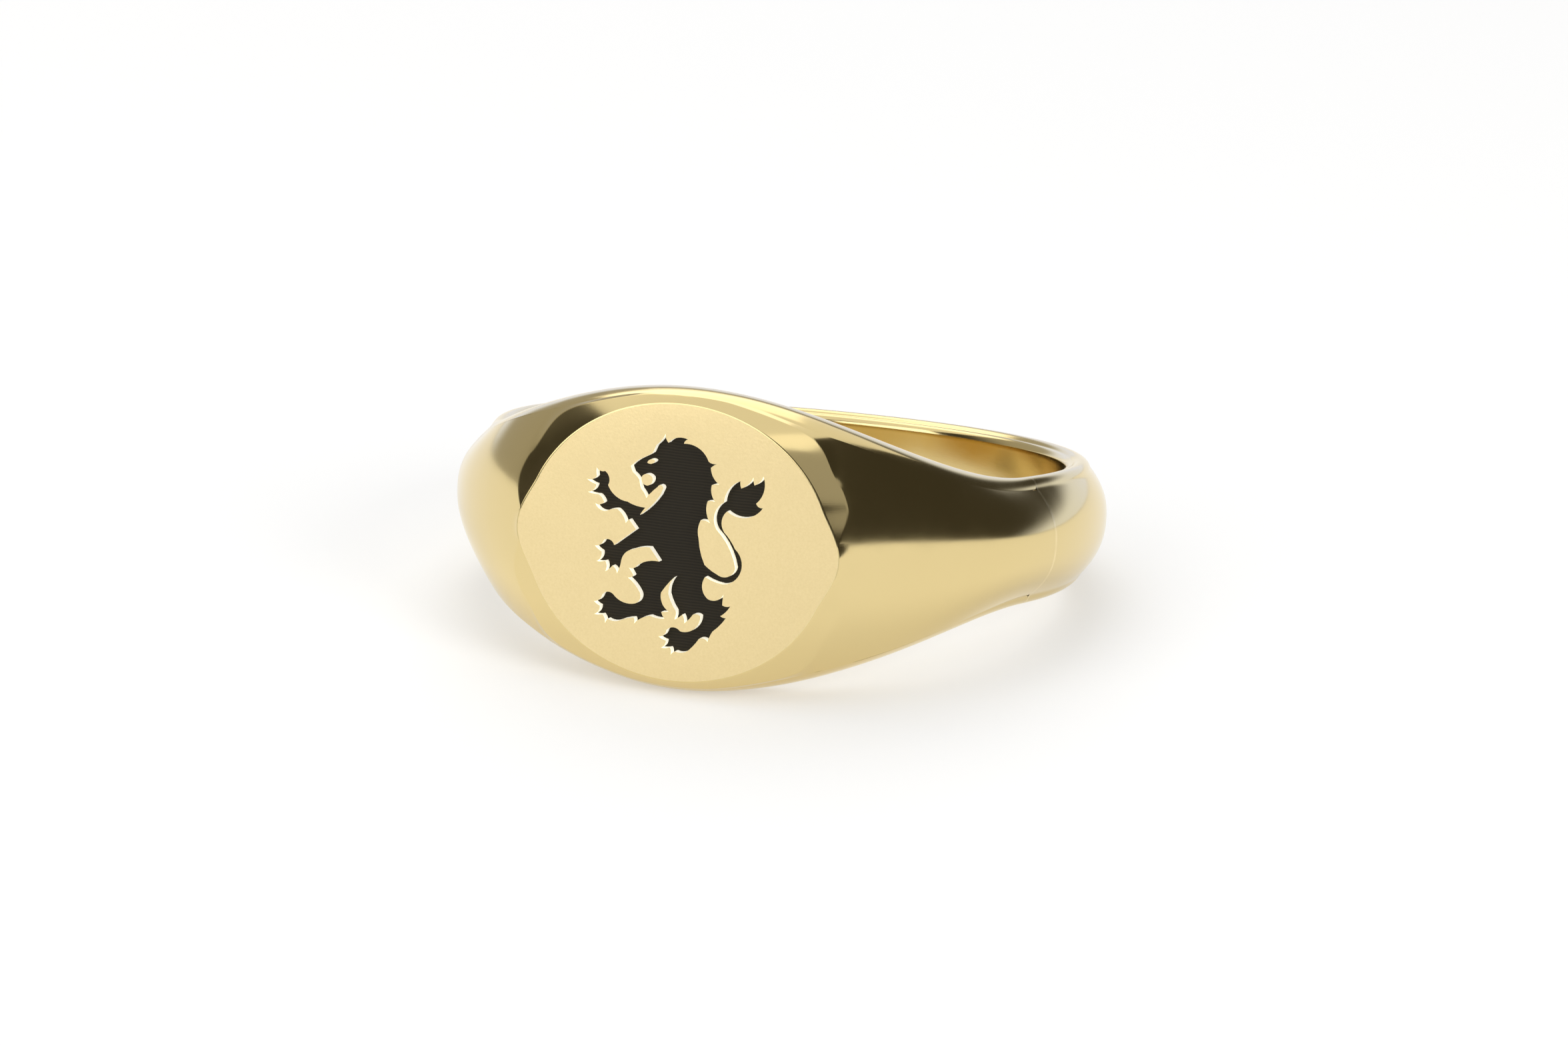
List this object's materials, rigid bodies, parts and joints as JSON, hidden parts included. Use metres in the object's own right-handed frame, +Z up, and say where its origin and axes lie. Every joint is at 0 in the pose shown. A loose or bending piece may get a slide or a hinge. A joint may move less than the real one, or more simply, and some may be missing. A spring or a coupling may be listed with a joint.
{
  "type": "signet ring",
  "caption": "Polished yellow-gold signet ring with a flat oval face inlaid with a black enamel heraldic lion, lying on its side.",
  "frame": {"origin": "middle of the footprint on the surface that the ring lies on, on its side as it rests", "axes": "+Z up; +Y from the signet face to the back of the band; +X to the right when looking at the face with the lion upright"},
  "size_m": [0.021, 0.0214, 0.0093],
  "materials": {
    "gold": "polished yellow gold, fine satin on the flat face",
    "gold_solder": "polished gold solder, slightly paler than the gold",
    "black_enamel": "fired black enamel, satin"
  },
  "bodies": {
    "root": {"head_casting": "gold", "shank_band": "gold", "solder_joint_right": "gold_solder", "solder_joint_left": "gold_solder", "lion_enamel": "black_enamel"}
  },
  "joints": []
}
